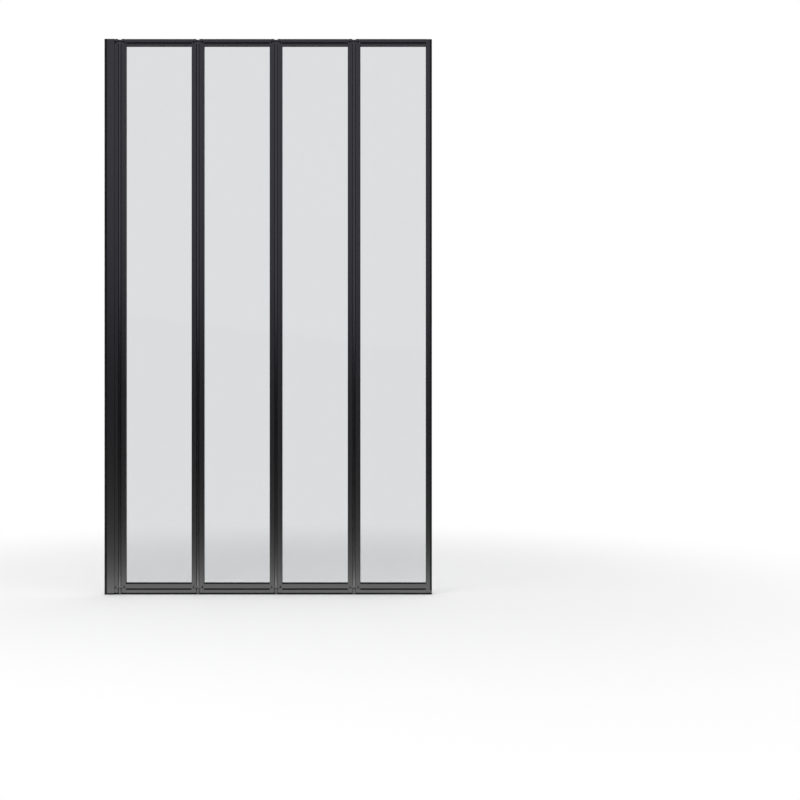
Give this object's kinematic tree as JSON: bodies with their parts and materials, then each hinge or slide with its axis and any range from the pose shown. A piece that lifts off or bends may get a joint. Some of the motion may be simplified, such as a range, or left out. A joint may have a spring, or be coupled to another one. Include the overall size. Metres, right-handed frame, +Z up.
{
  "type": "folding bath screen",
  "caption": "Folding bath screen: framed clear glass leaves on double-pivot hinges that fold in a zigzag against a wall channel with width adjustment; seals rest on the bath rim.",
  "frame": {"origin": "on the wall face, at mid-thickness of the screen, at the level of the bath rim", "axes": "+X from the wall to the free edge, +Y towards the bath, +Z up"},
  "size_m": [0.8245, 0.0185, 1.4002],
  "materials": {
    "black_aluminium": "satin black powder coat",
    "clear_glass": "clear toughened",
    "black_seal": "matt",
    "black_plastic": "moulded satin",
    "black_casting": "satin black, die cast",
    "black_steel": "blackened",
    "bush_plastic": "plain bearing plastic"
  },
  "bodies": {
    "wall_rail": {"wall_channel": "black_aluminium", "wall_channel_cap": "black_plastic"},
    "jamb": {"hinge_jamb": "black_aluminium", "jamb_end_blocks": "black_plastic", "jamb_pins": "black_steel", "jamb_lock_screws": "black_steel", "jamb_foot_seal": "black_seal"},
    "link_1": {"hinge_1_cover_strip": "black_aluminium", "hinge_1_links": "black_casting", "hinge_1_bushes": "bush_plastic"},
    "panel_1": {"panel_1_left_stile": "black_aluminium", "panel_1_right_stile": "black_aluminium", "panel_1_top_rail": "black_aluminium", "panel_1_bottom_rail": "black_aluminium", "panel_1_glass": "clear_glass", "panel_1_glazing_seal": "black_seal", "panel_1_bottom_seal": "black_seal", "panel_1_corner_blocks": "black_plastic", "panel_1_pins": "black_steel", "panel_1_corner_screws": "black_steel"},
    "link_2": {"hinge_2_cover_strip": "black_aluminium", "hinge_2_links": "black_casting", "hinge_2_bushes": "bush_plastic"},
    "panel_2": {"panel_2_left_stile": "black_aluminium", "panel_2_right_stile": "black_aluminium", "panel_2_top_rail": "black_aluminium", "panel_2_bottom_rail": "black_aluminium", "panel_2_glass": "clear_glass", "panel_2_glazing_seal": "black_seal", "panel_2_bottom_seal": "black_seal", "panel_2_corner_blocks": "black_plastic", "panel_2_pins": "black_steel", "panel_2_corner_screws": "black_steel"},
    "link_3": {"hinge_3_cover_strip": "black_aluminium", "hinge_3_links": "black_casting", "hinge_3_bushes": "bush_plastic"},
    "panel_3": {"panel_3_left_stile": "black_aluminium", "panel_3_right_stile": "black_aluminium", "panel_3_top_rail": "black_aluminium", "panel_3_bottom_rail": "black_aluminium", "panel_3_glass": "clear_glass", "panel_3_glazing_seal": "black_seal", "panel_3_bottom_seal": "black_seal", "panel_3_corner_blocks": "black_plastic", "panel_3_pins": "black_steel", "panel_3_corner_screws": "black_steel"},
    "link_4": {"hinge_4_cover_strip": "black_aluminium", "hinge_4_links": "black_casting", "hinge_4_bushes": "bush_plastic"},
    "panel_4": {"panel_4_left_stile": "black_aluminium", "panel_4_right_stile": "black_aluminium", "panel_4_top_rail": "black_aluminium", "panel_4_bottom_rail": "black_aluminium", "panel_4_glass": "clear_glass", "panel_4_glazing_seal": "black_seal", "panel_4_bottom_seal": "black_seal", "panel_4_corner_blocks": "black_plastic", "panel_4_pins": "black_steel", "panel_4_corner_screws": "black_steel", "panel_4_edge_bumper": "black_seal"}
  },
  "joints": [
    {"name": "width_adjust", "type": "slide", "parent": "wall_rail", "child": "jamb", "axis": [1, 0, 0], "range_m": [0, 0.012]},
    {"name": "hinge_1_link_turn", "type": "hinge", "parent": "jamb", "child": "link_1", "pos_m": [0.0288, 0, 0], "axis": [0, 0, 1], "range_deg": [0, 45]},
    {"name": "panel_1_turn", "type": "hinge", "parent": "link_1", "child": "panel_1", "pos_m": [0.04698, 0, 0], "axis": [0, 0, 1], "range_deg": [0, 45]},
    {"name": "hinge_2_link_turn", "type": "hinge", "parent": "panel_1", "child": "link_2", "pos_m": [0.22558, 0, 0], "axis": [0, 0, -1], "range_deg": [0, 90]},
    {"name": "panel_2_turn", "type": "hinge", "parent": "link_2", "child": "panel_2", "pos_m": [0.24375, 0, 0], "axis": [0, 0, -1], "range_deg": [0, 90]},
    {"name": "hinge_3_link_turn", "type": "hinge", "parent": "panel_2", "child": "link_3", "pos_m": [0.42235, 0, 0], "axis": [0, 0, 1], "range_deg": [0, 90]},
    {"name": "panel_3_turn", "type": "hinge", "parent": "link_3", "child": "panel_3", "pos_m": [0.44053, 0, 0], "axis": [0, 0, 1], "range_deg": [0, 90]},
    {"name": "hinge_4_link_turn", "type": "hinge", "parent": "panel_3", "child": "link_4", "pos_m": [0.61913, 0, 0], "axis": [0, 0, -1], "range_deg": [0, 90]},
    {"name": "panel_4_turn", "type": "hinge", "parent": "link_4", "child": "panel_4", "pos_m": [0.63731, 0, 0], "axis": [0, 0, -1], "range_deg": [0, 90]}
  ]
}
